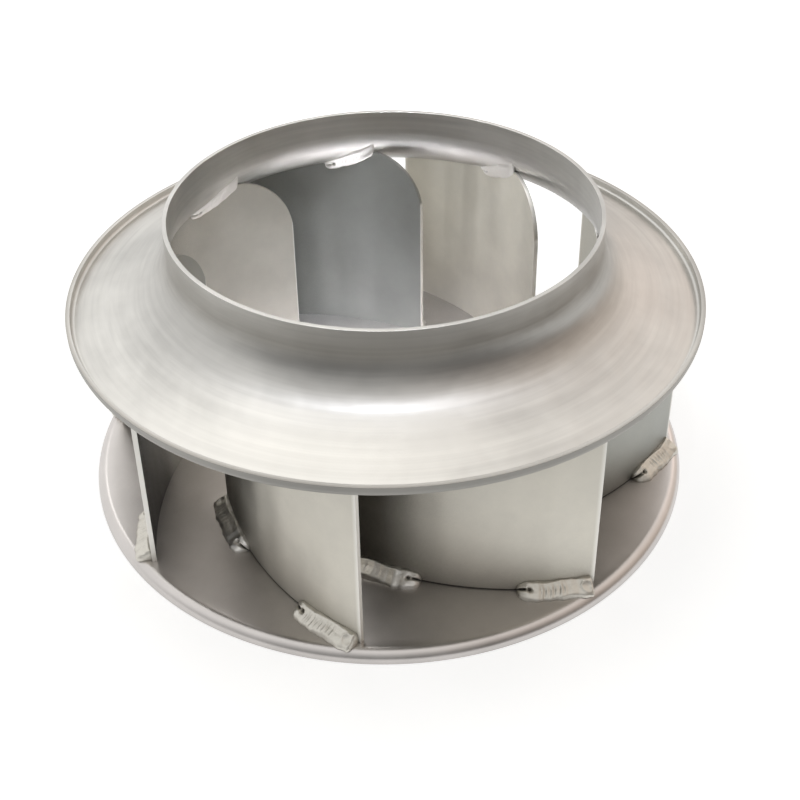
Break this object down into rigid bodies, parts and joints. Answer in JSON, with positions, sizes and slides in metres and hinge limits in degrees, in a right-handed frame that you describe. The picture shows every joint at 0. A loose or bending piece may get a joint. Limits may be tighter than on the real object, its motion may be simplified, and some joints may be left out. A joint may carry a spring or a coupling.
{
  "type": "centrifugal impeller",
  "caption": "Welded sheet-aluminium shrouded centrifugal impeller with backward-curved blades between a flanged back plate and a flared inlet shroud.",
  "frame": {"origin": "on the shaft axis in the plane of the back plate's rim edge, on which the impeller rests", "axes": "+Z along the shaft axis towards the inlet; the first blade's tip is 49.85 degrees clockwise of +X"},
  "size_m": [0.422, 0.422, 0.197],
  "materials": {
    "spun_aluminium": "spun, satin, fine circular lines",
    "plate_aluminium": "mill finish, dull satin",
    "blade_aluminium": "mill finish, satin",
    "weld_metal": "as welded, rippled, matt",
    "hub_aluminium": "turned",
    "screw_steel": "zinc plated"
  },
  "bodies": {
    "root": {"shroud": "spun_aluminium", "back_plate": "plate_aluminium", "hub": "hub_aluminium", "hub_screws": "screw_steel", "set_screw": "screw_steel", "blade_1": "blade_aluminium", "blade_2": "blade_aluminium", "blade_3": "blade_aluminium", "blade_4": "blade_aluminium", "blade_5": "blade_aluminium", "blade_6": "blade_aluminium", "blade_7": "blade_aluminium", "blade_8": "blade_aluminium", "foot_weld_outer_1": "weld_metal", "foot_weld_outer_2": "weld_metal", "foot_weld_outer_3": "weld_metal", "foot_weld_outer_4": "weld_metal", "foot_weld_outer_5": "weld_metal", "foot_weld_outer_6": "weld_metal", "foot_weld_outer_7": "weld_metal", "foot_weld_outer_8": "weld_metal", "foot_weld_inner_1": "weld_metal", "foot_weld_inner_2": "weld_metal", "foot_weld_inner_3": "weld_metal", "foot_weld_inner_4": "weld_metal", "foot_weld_inner_5": "weld_metal", "foot_weld_inner_6": "weld_metal", "foot_weld_inner_7": "weld_metal", "foot_weld_inner_8": "weld_metal", "shroud_weld_outer_1": "weld_metal", "shroud_weld_outer_2": "weld_metal", "shroud_weld_outer_3": "weld_metal", "shroud_weld_outer_4": "weld_metal", "shroud_weld_outer_5": "weld_metal", "shroud_weld_outer_6": "weld_metal", "shroud_weld_outer_7": "weld_metal", "shroud_weld_outer_8": "weld_metal", "shroud_weld_inner_1": "weld_metal", "shroud_weld_inner_2": "weld_metal", "shroud_weld_inner_3": "weld_metal", "shroud_weld_inner_4": "weld_metal", "shroud_weld_inner_5": "weld_metal", "shroud_weld_inner_6": "weld_metal", "shroud_weld_inner_7": "weld_metal", "shroud_weld_inner_8": "weld_metal"}
  },
  "joints": []
}
